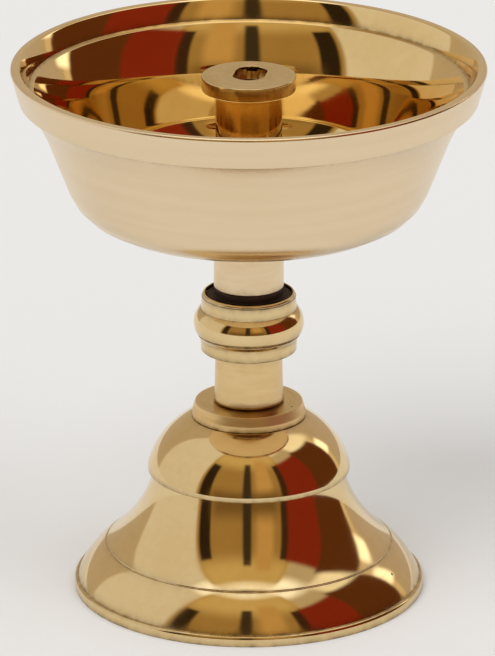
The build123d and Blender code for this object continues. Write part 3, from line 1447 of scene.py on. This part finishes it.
@dataclass
class FlaredBase:
    """The spun skirt, the dome on it and the collar on top."""

    bore: float = CLEAR_BORE
    skirt_height: float = 26.2 * MM
    skirt_wall: float = 1.8 * MM
    skirt_top: float = 20.2 * MM
    cove_end: Vector = Vector((30.6 * MM, 9.8 * MM))
    cove_sag: float = 1.66 * MM
    roll_end: Vector = Vector((36.6 * MM, 2.3 * MM))
    scribed_line: float = 0.22 * MM
    line_edge_round: float = 0.06 * MM
    line_bottom_round: float = 0.08 * MM
    bead_foot_round: float = 0.12 * MM
    spigot: float = 19.1 * MM
    dome_wall: float = 2.4 * MM
    dome_seat: float = 12.3 * MM
    dome_sag: float = 1.6 * MM
    dome_edge: float = 1.15 * MM
    dome_edge_round: float = 0.38 * MM
    dome_seat_round: float = 0.2 * MM
    crown_round: float = 0.3 * MM
    collar_taper: float = 0.1 * MM
    collar_bevel: float = 0.6 * MM
    collar_bevel_height: float = 2.0 * MM
    collar_foot_round: float = 0.1 * MM
    collar_side_round: float = 0.2 * MM
    collar_top_round: float = 0.3 * MM
    underside_slope: float = -0.05
    inside_slope: float = -0.2

    def skirt_outline(self) -> Outline:
        """Draw the skirt, with its web, spigot, scribed line and foot bead.

        Returns:
            Its half section.
        """
        extent = Extent.of("base_skirt")
        bead = extent.radius - self.roll_end.x
        web_foot = self.skirt_height - self.skirt_wall
        inner_foot = self.roll_end.x - self.skirt_wall
        cove = Bend.sagging(Vector((self.skirt_top, self.skirt_height)), self.cove_end, self.cove_sag)
        roll = Bend.leaving(cove.end, cove.at(cove.length)[1], self.roll_end)
        upper = cove.part(0.0, cove.length - self.scribed_line)
        lower = roll.part(self.scribed_line, roll.length)
        heading = cove.at(cove.length)[1]
        groove = cove.end + Vector((heading.y, -heading.x)) * self.scribed_line
        under_roll = roll.parallel(self.skirt_wall).until_radius(inner_foot)
        under_cove = cove.parallel(self.skirt_wall).from_height(web_foot)
        outline = Outline(self.bore, web_foot)
        outline.to(self.bore, extent.top).to(self.spigot, extent.top)
        outline.to(self.spigot, self.skirt_height).along(upper, self.line_edge_round)
        outline.to(*groove, self.line_bottom_round, Corner.FAINT)
        outline.to(*lower.start, self.line_edge_round).along(lower, self.bead_foot_round)
        outline.along(Bend.quarter(Vector((extent.radius, self.roll_end.y - bead)), bead).back())
        outline.to(extent.radius, extent.foot, corner=Corner.SEAM)
        outline.to(inner_foot, extent.foot).to(*under_roll.end)
        outline.along(under_roll.back()).along(under_cove.back())
        return outline.close()

    def dome_outline(self) -> Outline:
        """Draw the dome.

        Returns:
            Its half section.
        """
        extent = Extent.of("base_dome")
        edge = Vector((extent.radius, extent.foot + self.dome_edge))
        crown = Bend.sagging(Vector((self.dome_seat, extent.top)), edge, -self.dome_sag)
        inside = crown.parallel(self.dome_wall).from_height(extent.top - self.dome_wall)
        inside = inside.until_radius(extent.radius - self.dome_wall)
        outline = Outline(self.bore, extent.top - self.dome_wall)
        outline.to(self.bore, extent.top).to(*crown.start, self.dome_seat_round, Corner.SEAM)
        outline.along(crown, self.crown_round)
        outline.to(extent.radius, extent.foot, self.dome_edge_round, Corner.SEAM)
        outline.to(extent.radius - self.dome_wall, extent.foot).to(*inside.end)
        return outline.along(inside.back()).close()

    def collar_outline(self) -> Outline:
        """Draw the collar, with its broken upper edge.

        Returns:
            Its half section.
        """
        extent = Extent.of("base_collar")
        shoulder = extent.radius - self.collar_taper
        outline = Outline(self.bore, extent.foot)
        # Besides soiling, the seam at the foot paints the dark shade line where the collar meets the dome
        outline.to(extent.radius, extent.foot, self.collar_foot_round, Corner.SEAM)
        outline.to(shoulder, extent.top - self.collar_bevel_height, self.collar_side_round)
        outline.to(shoulder - self.collar_bevel, extent.top, self.collar_top_round)
        return outline.to(self.bore, extent.top).close()

    def build(self, dresser: Dresser) -> None:
        """Make and dress the three pieces.

        Args:
            dresser: gives the pieces their finishes and their places.
        """
        skirt = FINE.turn("skirt_spun", self.skirt_outline())
        dresser.dress(skirt, "base_skirt", POLISHED, RAW_BRASS, choose=self._skirt_side)
        dresser.dress(FINE.turn("dome_spun", self.dome_outline()), "base_dome", POLISHED)
        collar = MEDIUM.turn("collar_turned", self.collar_outline())
        dresser.dress(collar, "base_collar", COLLAR_SATIN, TURNED_FACE, choose=is_upper)

    def _skirt_side(self, face: Face) -> int:
        """Polished outside, raw underneath."""
        underside = face.normal.z < self.underside_slope and face.center.to_2d().length < self.roll_end.x
        return int(underside or outward(face) < self.inside_slope)


@dataclass
class Pillar:
    """The lower stem and the knop above it."""

    bore: float = CLEAR_BORE
    tapped: float = TAPPED_BORE
    stem_top: float = 7.05 * MM
    stem_waist: float = 7.3 * MM
    stem_flare: float = 2.6 * MM
    stem_foot_round: float = 0.7 * MM
    stem_top_round: float = 0.1 * MM
    band: float = 10.3 * MM
    band_taper: float = 0.15 * MM
    band_height: float = 2.7 * MM
    band_foot_round: float = 0.22 * MM
    band_top_round: float = 1.2 * MM
    shoulder: float = 11.0 * MM
    shoulder_height: float = 0.9 * MM
    shoulder_round: float = 0.15 * MM
    groove_depth: float = 0.3 * MM
    groove_width: float = 0.6 * MM
    groove_round: float = 0.08 * MM
    bead_foot: float = 11.3 * MM
    bead: float = 11.72 * MM
    bead_rise: float = 1.8 * MM
    bead_height: float = 5.2 * MM
    bead_end_round: float = 0.12 * MM
    neck: float = 10.15 * MM
    lip: float = 9.85 * MM
    lip_height: float = 0.7 * MM
    lip_step: float = 0.15 * MM
    lip_step_round: float = 0.08 * MM
    lip_width: float = 0.5 * MM
    lip_end_round: float = 0.06 * MM
    cup_depth: float = 1.5 * MM

    def stem_outline(self) -> Outline:
        """Draw the lower stem.

        Returns:
            Its half section.
        """
        extent = Extent.of("lower_stem")
        waist = Vector((self.stem_waist, extent.foot + self.stem_flare))
        top = Vector((self.stem_top, extent.top))
        flare = Bend.leaving(waist, (waist - top).normalized(), Vector((extent.radius, extent.foot)))
        outline = Outline(self.bore, extent.top)
        # Besides soiling, the seams at the top and foot paint dark shade lines under the knop and over the
        # collar
        outline.to(*top, self.stem_top_round, Corner.SEAM).to(*waist)
        outline.along(flare, self.stem_foot_round, Corner.SEAM)
        return outline.to(self.bore, extent.foot).close()

    @staticmethod
    def _through(start: Vector, middle: Vector, end: Vector) -> Bend:
        """Draw an arc through three points.

        Args:
            start: where the arc begins.
            middle: a point on the way.
            end: where the arc ends.

        Returns:
            The arc from start to end.
        """
        a, b = middle - start, end - start
        twice = 2 * a.cross(b)
        x = (b.y * a.length_squared - a.y * b.length_squared) / twice
        y = (a.x * b.length_squared - b.x * a.length_squared) / twice
        return Bend.between(start + Vector((x, y)), start, end, twice > 0)

    def knop_outline(self) -> Outline:
        """Draw the knop, from its bore round the groove and the bead to its cup.

        Returns:
            Its half section.
        """
        extent = Extent.of("knop")
        groove = extent.foot + self.band_height + self.shoulder_height
        bead_foot = Vector((self.bead_foot, groove + self.groove_width))
        bead_side = Vector((self.bead, bead_foot.y + self.bead_rise))
        bead_top = Vector((self.neck, bead_foot.y + self.bead_height))
        lip_foot = extent.top - self.lip_height
        cup = self.lip - self.lip_width
        floor = extent.top - self.cup_depth
        lip = Bend.quarter(Vector((self.lip, extent.top - self.lip_width)), self.lip_width)
        outline = Outline(self.tapped, floor)
        outline.to(self.tapped, extent.foot)
        outline.to(self.band - self.band_taper, extent.foot, self.band_foot_round, Corner.SEAM)
        outline.to(self.band, extent.foot + self.band_height, self.band_top_round)
        outline.to(self.shoulder, groove, self.shoulder_round)
        outline.to(self.shoulder - self.groove_depth, groove + self.groove_width / 2, self.groove_round)
        outline.to(*bead_foot, self.bead_end_round)
        outline.along(self._through(bead_foot, bead_side, bead_top), self.bead_end_round)
        outline.to(self.lip + self.lip_step, lip_foot, self.lip_step_round)
        outline.to(self.lip, lip_foot, self.lip_end_round).along(lip, self.lip_end_round)
        return outline.to(cup, floor).close()

    def build(self, dresser: Dresser) -> None:
        """Make and dress the two pieces."""
        dresser.dress(MEDIUM.turn("lower_stem_turned", self.stem_outline()), "lower_stem", GOLDEN_SATIN)
        dresser.dress(MEDIUM.turn("knop_turned", self.knop_outline()), "knop", POLISHED)


@dataclass
class SoftRings:
    """The leather rings that seat the bowl's stem and the wick holder."""

    bore: float = CLEAR_BORE
    collar: float = 7.12 * MM
    flange_height: float = 1.0 * MM
    edge_round: float = 0.32 * MM

    def build(self, dresser: Dresser) -> None:
        """Make and dress the stepped gasket and the thin seal.

        Args:
            dresser: gives the pieces their finishes and their places.
        """
        extent = Extent.of("seat_gasket")
        step = extent.foot + self.flange_height
        gasket = Outline(self.bore, extent.foot).to(extent.radius, extent.foot)
        gasket.to(extent.radius, step, self.edge_round).to(self.collar, step, self.edge_round)
        gasket.to(self.collar, extent.top, self.edge_round).to(self.bore, extent.top).close()
        dresser.dress(MEDIUM.turn("gasket_leather", gasket), "seat_gasket", LEATHER)
        seal = flat_ring(Extent.of("bowl_seal"), self.bore, self.edge_round)
        dresser.dress(MEDIUM.turn("seal_leather", seal), "bowl_seal", LEATHER)


@dataclass
class BowlUnit:
    """The bowl and the stem that carries it."""

    bore: float = CLEAR_BORE
    tapped: float = TAPPED_BORE
    stem_edge: float = 0.25 * MM
    stem_foot_round: float = 0.1 * MM
    stem_edge_round: float = 0.2 * MM
    wall: float = 1.7 * MM
    seat: float = 7.8 * MM
    seat_round: float = 0.5 * MM
    floor_edge: float = 36.4 * MM
    floor_rise: float = 7.8 * MM
    floor_sag: float = 1.0 * MM
    floor_round: float = 11.0 * MM
    inner_edge_shift: float = 0.3 * MM
    inner_round: float = 12.0 * MM
    throat: float = 42.3 * MM
    throat_drop: float = 15.3 * MM
    throat_wall: float = 2.05 * MM
    throat_lift: float = 1.0 * MM
    rim_round: float = 0.6 * MM
    rim_lip: float = 1.8 * MM
    band_height: float = 6.8 * MM
    band_taper: float = 1.7 * MM
    band_step: float = 0.9 * MM
    band_inner_round: float = 0.12 * MM
    band_outer_round: float = 0.16 * MM
    lip_bevel: float = 2.05 * MM
    lip_depth: float = 4.2 * MM
    lip_sag: float = 0.2 * MM
    lip_round: float = 0.8 * MM
    lip_foot_round: float = 0.15 * MM
    ledge_width: float = 1.0 * MM
    ledge_drop: float = 0.3 * MM
    ledge_round: float = 0.25 * MM
    floor_slope: float = 0.6
    inside_slope: float = -0.1

    def bowl_outline(self) -> Outline:
        """Draw the bowl, up the outside, over the rim and down the inside.

        Returns:
            Its half section.
        """
        extent = Extent.of("bowl")
        floor = extent.foot + self.wall
        pad = Vector((self.seat, extent.foot))
        floor_edge = Vector((self.floor_edge, extent.foot + self.floor_rise))
        throat = Vector((self.throat, extent.top - self.throat_drop))
        inner_edge = floor_edge + Vector((self.inner_edge_shift, self.wall))
        inner_throat = throat + Vector((-self.throat_wall, self.throat_lift))
        band_foot = extent.top - self.band_height
        band = extent.radius - self.band_taper
        rim = Bend.quarter(Vector((extent.radius, extent.top - self.rim_round)), self.rim_round)
        rim_inside = Vector((extent.radius - self.rim_lip, extent.top))
        lip_foot = rim_inside - Vector((self.lip_bevel, self.lip_depth))
        ledge = lip_foot - Vector((self.ledge_width, self.ledge_drop))
        inner_floor = Bend.sagging(Vector((self.seat, floor)), inner_edge, self.floor_sag)
        inner_flare = Bend.leaving(inner_throat, (inner_throat - inner_edge).normalized(), ledge)
        outline = Outline(self.bore, extent.foot).to(*pad, self.seat_round, Corner.SEAM)
        outline.along(Bend.sagging(pad, floor_edge, self.floor_sag), self.floor_round).to(*throat)
        # Besides soiling, the inner corner under the rim band paints the shade line of its undercut
        outline.swing(band - self.band_step, band_foot, self.band_inner_round)
        outline.to(band, band_foot, self.band_outer_round)
        outline.along(rim).to(*rim_inside, self.lip_round)
        outline.along(Bend.sagging(rim_inside, lip_foot, self.lip_sag), self.lip_foot_round)
        outline.to(*ledge, self.ledge_round).along(inner_flare.back())
        outline.to(*inner_edge, self.inner_round).along(inner_floor.back(), self.seat_round)
        return outline.to(self.bore, floor).close()

    def stem_outline(self) -> Outline:
        """Draw the upper stem.

        Returns:
            Its half section.
        """
        extent = Extent.of("upper_stem")
        outline = Outline(self.tapped, extent.foot)
        outline.to(extent.radius - self.stem_edge, extent.foot, self.stem_foot_round, Corner.SEAM)
        outline.to(extent.radius, extent.foot + self.stem_edge, self.stem_edge_round, Corner.SEAM)
        outline.to(extent.radius, extent.top, corner=Corner.SEAM).to(self.tapped, extent.top)
        return outline.close()

    def build(self, dresser: Dresser) -> None:
        """Make and dress the two pieces.

        Args:
            dresser: gives the pieces their finishes and their places.
        """
        bowl = FINE.turn("bowl_spun", self.bowl_outline())
        dresser.dress(bowl, "bowl", BOWL_OUTSIDE, BOWL_INSIDE, choose=self._bowl_side)
        dresser.dress(MEDIUM.turn("upper_stem_turned", self.stem_outline()), "upper_stem", SATIN)

    def _bowl_side(self, face: Face) -> int:
        """Satin outside, mirror-polished inside."""
        floor = face.normal.z > self.floor_slope and face.center.to_2d().length < self.throat
        return int(floor or outward(face) < self.inside_slope)


@dataclass
class WickHolder:
    """The flanged post in the bowl, with its oblong mouth, bore, feed ports and threaded shank."""

    post: float = 7.0 * MM
    flange_height: float = 3.0 * MM
    edge_break: float = 0.25 * MM
    bore: float = 3.25 * MM
    mouth: float = 3.3 * MM
    mouth_reach: float = 3.2 * MM
    mouth_turn: float = math.radians(80.0)
    mouth_depth: float = 1.9 * MM
    mouth_edge: float = 0.25 * MM
    mouth_edge_steps: int = 4
    bore_ring_drop: float = 2.0 * MM
    port: float = 1.6 * MM
    port_rise: float = 6.0 * MM
    port_clearance: float = 2.4 * MM
    drill_overshoot: float = 1.0 * MM
    drill_facets: int = 48
    shank: float = THREAD
    shank_sink: float = 0.4 * MM
    shank_chamfer: float = 0.7 * MM
    facets: int = 128

    def mouth_radius(self, grow: float) -> Callable[[float], float]:
        """Outline of the mouth about the axis.

        Args:
            grow: how far outside the mouth's wall the outline lies.

        Returns:
            The distance from the axis at an angle.
        """
        reach, wide = self.mouth_reach, self.mouth + grow

        def distance(angle: float) -> float:
            """Measure from the axis to the outline.

            Args:
                angle: direction about the axis.

            Returns:
                The distance.
            """
            along = math.cos(angle - self.mouth_turn)
            across = abs(math.sin(angle - self.mouth_turn))
            if along <= 0:
                return wide
            if wide * along <= reach * across:
                return wide / across
            return reach * along + math.sqrt(wide**2 - (reach * across) ** 2)

        return distance

    def build(self, dresser: Dresser) -> None:
        """Make and dress the piece.

        Args:
            dresser: gives the piece its finishes and its place.
        """
        extent = Extent.of("wick_holder")
        foot = Extent.of("bowl_seal").top
        flange_foot = extent.top - self.flange_height
        port_height = foot + self.port_rise
        land = self.mouth + self.mouth_reach + 2 * self.mouth_edge
        turned = Outline(0.0, foot).to(self.post, foot)
        for height in (port_height - self.port_clearance, port_height + self.port_clearance, flange_foot):
            turned.to(self.post, height, self.edge_break)
        for height in (flange_foot, extent.top):
            turned.to(extent.radius, height, self.edge_break)
        turned.to(land, extent.top)
        rings = [ring(row.radius, row.height, self.facets) for row in turned.rows()]
        floor = extent.top - self.mouth_depth
        for step in range(self.mouth_edge_steps + 1):
            lean = math.pi / 2 * step / self.mouth_edge_steps
            grow = self.mouth_edge * (1 - math.sin(lean))
            drop = self.mouth_edge * (1 - math.cos(lean))
            rings.append(ring(self.mouth_radius(grow), extent.top - drop, self.facets))
        rings.append(ring(self.mouth_radius(0.0), floor, self.facets))
        for height in (floor, floor - self.bore_ring_drop, port_height + self.port_clearance, port_height):
            rings.append(ring(self.bore, height, self.facets))
        rings.append(ring(0.0, port_height, self.facets))
        holder = add_object("wick_holder_turned", skin_rings("wick_holder_turned", rings, closed=False))
        thread = ScrewThread(self.shank)
        shank = thread.bar("shank", extent.foot, foot + self.shank_sink, self.shank_chamfer)
        shape_with(holder, shank, Join.ADD)
        for turn in (0.0, math.pi / 2):
            shape_with(holder, self._drill(port_height, turn), Join.CUT)
        holder.data.shade_smooth()
        holder.data.set_sharp_from_angle(angle=SHARP_ANGLE)
        dresser.dress(holder, "wick_holder", HOLDER_SIDE, TURNED_FACE, choose=is_upper)

    def _drill(self, height: float, turn: float) -> bpy.types.Object:
        """Make a round bar across the post, to cut a pair of feed ports with.

        Args:
            height: height of the bar's middle.
            turn: direction of the bar about the axis.

        Returns:
            The closed bar.
        """
        reach = self.post + self.drill_overshoot
        ends = ((0.0, -reach), (self.port, -reach), (self.port, reach), (0.0, reach))
        rings = [ring(radius, along, self.drill_facets) for radius, along in ends]
        mesh = skin_rings("drill", rings, closed=False)
        bar = add_object("drill", mesh)
        across = Vector((math.cos(turn), math.sin(turn), 0.0))
        side = Vector((-across.y, across.x, 0.0))
        for vertex in mesh.vertices:
            x, y, z = vertex.co
            vertex.co = across * z + side * x + Vector((0.0, 0.0, height + y))
        return bar


@dataclass
class TieHardware:
    """The threaded rod through the stand, with its washer and nut."""

    rod: float = THREAD
    rod_chamfer: float = 0.7 * MM
    tapped: float = TAPPED_BORE
    washer_bore: float = CLEAR_BORE
    washer_round: float = 0.3 * MM
    nut_sides: int = 6
    nut_width: float = 13.0 * MM
    nut_face_share: float = 0.97
    nut_lead: float = 0.6 * MM
    nut_slope: float = math.tan(math.radians(60))
    nut_steps: int = 6
    nut_facets: int = 144

    def nut_radius(self, limit: float) -> Callable[[float], float]:
        """Outline of the nut about the axis.

        Args:
            limit: radius at which the corners are turned off.

        Returns:
            The distance from the axis at an angle.
        """
        sector = math.tau / self.nut_sides
        return lambda angle: min(self.nut_width / 2 / math.cos(angle % sector - sector / 2), limit)

    def build(self, dresser: Dresser) -> None:
        """Make and dress the rod, the washer and the nut.

        Args:
            dresser: gives the pieces their finishes and their places.
        """
        extent = Extent.of("tie_rod")
        rod = ScrewThread(self.rod).bar("rod_threaded", extent.foot, extent.top, self.rod_chamfer)
        dresser.dress(rod, "tie_rod", STEEL)
        washer = flat_ring(Extent.of("clamp_washer"), self.washer_bore, self.washer_round)
        dresser.dress(MEDIUM.turn("washer_stamped", washer), "clamp_washer", STEEL)
        self._build_nut(dresser)

    def _build_nut(self, dresser: Dresser) -> None:
        """Make and dress the nut, with turned corners and a countersunk bore.

        Args:
            dresser: gives the nut its finish and its place.
        """
        extent = Extent.of("clamp_nut")
        face = self.nut_width / 2 * self.nut_face_share
        depth = (extent.radius - face) / self.nut_slope
        drops = [depth * step / self.nut_steps for step in range(self.nut_steps + 1)]
        lead = self.tapped + self.nut_lead
        corners = [(self.nut_radius(face + drop * self.nut_slope), drop) for drop in drops]
        levels = [(self.tapped, extent.foot + self.nut_lead), (lead, extent.foot)]
        levels += [(radius, extent.foot + drop) for radius, drop in corners]
        levels += [(radius, extent.top - drop) for radius, drop in reversed(corners)]
        levels += [(lead, extent.top), (self.tapped, extent.top - self.nut_lead)]
        rings = [ring(radius, height, self.nut_facets) for radius, height in levels]
        mesh = skin_rings("nut_hexagon", rings, closed=True)
        mesh.set_sharp_from_angle(angle=SHARP_ANGLE)
        dresser.dress(add_object("nut_hexagon", mesh), "clamp_nut", STEEL)


# Studio

@dataclass(frozen=True)
class Panel:
    """A plain card or flag that stands round the lamp and shows in the metal.

    Attributes:
        left: its left edge, in degrees to the right of the camera.
        right: its right edge, in the same way.
        foot: its lower edge, in degrees above the horizon.
        top: its upper edge, in the same way.
        tone: its colour.
        blur: softness of its edges, in degrees.
        fall: how much lower its upper edge is on the right than on the left, in degrees.
    """

    left: float
    right: float
    foot: float
    top: float
    tone: Colour
    blur: float = 1.5
    fall: float = 0.0


@dataclass(frozen=True)
class SoftLamp:
    """A broad soft lamp for floor and leather; the metal shows the cards instead.

    Attributes:
        name: its name.
        strength: its strength.
        lean: how far it leans from straight above, in degrees.
        turn: where it leans to, in degrees about the vertical.
        spread: how broad it is, in degrees.
    """

    name: str
    strength: float
    lean: float
    turn: float
    spread: float = 40.0

    def build(self) -> None:
        """Put the lamp into the scene."""
        light = bpy.data.lights.new(self.name, "SUN")
        light.energy = self.strength
        light.angle = math.radians(self.spread)
        lamp = bpy.data.objects.new(self.name, light)
        lamp.rotation_euler = (math.radians(self.lean), 0.0, math.radians(self.turn))
        lamp.visible_glossy = False
        bpy.context.scene.collection.objects.link(lamp)


@dataclass
class Studio:
    """A pale floor, soft light, a ring of cards and the camera."""

    camera_place: Vector = Vector((0.0, -1.4, 0.56066))
    camera_aim: Vector = Vector((0.0, 0.0, 0.058))
    lens: float = 384.63
    shift: tuple[float, float] = (-0.0020, -0.0009)
    clip: tuple[float, float] = (0.05, 40.0)
    floor_radii: tuple[float, ...] = (8.0, 1.0, 0.2, 0.0)
    floor_facets: int = 96
    floor_tone: Colour = (0.84, 0.83, 0.815)
    floor_paler: float = 1.02
    floor_roughness: float = 0.85
    floor_gloss: float = 0.1
    lamps: tuple[SoftLamp, ...] = (SoftLamp("key", 1.15, 38, -35), SoftLamp("fill", 0.55, 42, 60))
    air: Colour = (0.57, 0.565, 0.56)
    ceiling: Colour = (1.45, 1.50, 1.55)
    panels: tuple[Panel, ...] = (
        # Pale walls all round, a little duller behind the lamp
        Panel(-200, 200, -90, 66, (0.56, 0.47, 0.34), 5.0),
        Panel(-168, -127, -90, 66, (0.54, 0.455, 0.345), 4.0),
        Panel(131, 168, -90, 66, (0.54, 0.45, 0.36), 4.0),
        # A pale card on the left
        Panel(-125, -60, -90, 64, (0.77, 0.73, 0.67)),
        # Golden cards in front, with dark flags between them
        Panel(-60, 48, -90, 71, (0.395, 0.248, 0.084), 2.5),
        Panel(-60, 48, 52, 75, (0.66, 0.49, 0.215), 9.0),
        Panel(-57, -44, -90, 50, (0.030, 0.018, 0.009)),
        Panel(9, 28, -90, 62, (0.60, 0.378, 0.142), 4.0),
        Panel(-43, 36, -90, 17, (0.20, 0.116, 0.038), 9.0),
        Panel(-7, 3, 4, 58, (0.05, 0.035, 0.02), 2.0),
        Panel(37, 47, -90, 51, (0.050, 0.023, 0.011)),
        # Red and brown cards on the right, with a bright one above them
        Panel(45, 87, -90, 52, (0.24, 0.026, 0.010), 2.5),
        Panel(88, 134, 40, 74, (1.15, 1.08, 0.92), 6.0),
        Panel(82, 122, -110, 55, (0.118, 0.037, 0.010), 2.5, 13.0),
        # Bright strips for the highlights
        Panel(122, 127, -90, 40, (0.80, 0.63, 0.42), 1.2),
        Panel(122, 131, 17, 32, (1.8, 1.7, 1.5), 2.5),
    )

    def build(self) -> None:
        """Set up the floor, the light, the surround and the camera."""
        self._floor()
        for lamp in self.lamps:
            lamp.build()
        self._surround()
        self._camera()
        bpy.context.scene.view_settings.view_transform = "Standard"

    def _floor(self) -> None:
        """A plain pale floor."""
        rings = [ring(radius, 0.0, self.floor_facets) for radius in self.floor_radii]
        floor = add_object("floor", skin_rings("floor", rings, closed=False))
        made, graph, shader = new_material("pale_floor")
        clouds = graph.noise(graph.place(), scale=3.0, detail=2.0)
        paler = tuple(min(1.0, part * self.floor_paler) for part in self.floor_tone)
        graph.feed(shader.inputs["Base Color"], graph.mix(clouds, self.floor_tone, paler))
        shader.inputs["Roughness"].default_value = self.floor_roughness
        shader.inputs["Specular IOR Level"].default_value = self.floor_gloss
        floor.data.materials.append(made)
        floor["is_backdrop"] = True

    def _surround(self) -> None:
        """Cards for the metal to reflect, and plain air for everything else."""
        world = bpy.data.worlds.new("surround")
        bpy.context.scene.world = world
        world.use_nodes = True
        world.cycles.sampling_method = "NONE"
        graph = Graph(world.node_tree)
        heading = graph.node("ShaderNodeTexCoord").outputs["Generated"]
        parts = graph.node("ShaderNodeSeparateXYZ", {0: heading}).outputs
        turn = graph.math("ARCTAN2", parts["X"], graph.math("MULTIPLY", parts["Y"], -1.0))
        azimuth = graph.math("DEGREES", turn)
        elevation = graph.math("DEGREES", graph.math("ARCSINE", parts["Z"]))
        cards: Value = self.ceiling
        for panel in self.panels:
            inside: Value = 1.0
            lean = panel.fall / (panel.right - panel.left)
            height = graph.math("ADD", elevation, graph.math("MULTIPLY", azimuth, lean))
            foot, top = (edge + lean * panel.left for edge in (panel.foot, panel.top))
            for value, low, high in ((azimuth, panel.left, panel.right), (height, foot, top)):
                rise = graph.ramp(value, low - panel.blur, low + panel.blur)
                fall = graph.math("SUBTRACT", 1.0, graph.ramp(value, high - panel.blur, high + panel.blur))
                inside = graph.math("MULTIPLY", inside, graph.math("MULTIPLY", rise, fall))
            cards = graph.mix(inside, cards, panel.tone)
        path = graph.node("ShaderNodeLightPath").outputs
        shown = graph.math("MAXIMUM", path["Is Glossy Ray"], path["Is Transmission Ray"])
        background = next(node for node in world.node_tree.nodes if node.type == "BACKGROUND")
        graph.feed(background.inputs["Color"], graph.mix(shown, self.air, cards))

    def _camera(self) -> None:
        """The camera at the photograph's angle."""
        data = bpy.data.cameras.new("camera")
        data.lens = self.lens
        data.shift_x, data.shift_y = self.shift
        data.clip_start, data.clip_end = self.clip
        camera = bpy.data.objects.new("camera", data)
        camera.location = self.camera_place
        camera.rotation_euler = (self.camera_aim - self.camera_place).to_track_quat("-Z", "Y").to_euler()
        bpy.context.scene.collection.objects.link(camera)
        bpy.context.scene.camera = camera


def save_sizes() -> None:
    """Turn the frame's box and the dressed lamp's box into plain lists.
    """
    boxes = {"cad": CAD_BOX, "visual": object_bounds()}
    plain = {name: [[float(x) for x in corner] for corner in box] for name, box in boxes.items()}


def main() -> None:
    """Build the lamp's sub-assemblies in order, then the studio."""
    logging.basicConfig(level=logging.INFO, format="%(name)s: %(message)s")
    dresser = Dresser()
    for assembly in (FlaredBase(), Pillar(), TieHardware(), SoftRings(), BowlUnit(), WickHolder()):
        assembly.build(dresser)
    Studio().build()
    save_sizes()


if __name__ == "__main__":
    main()
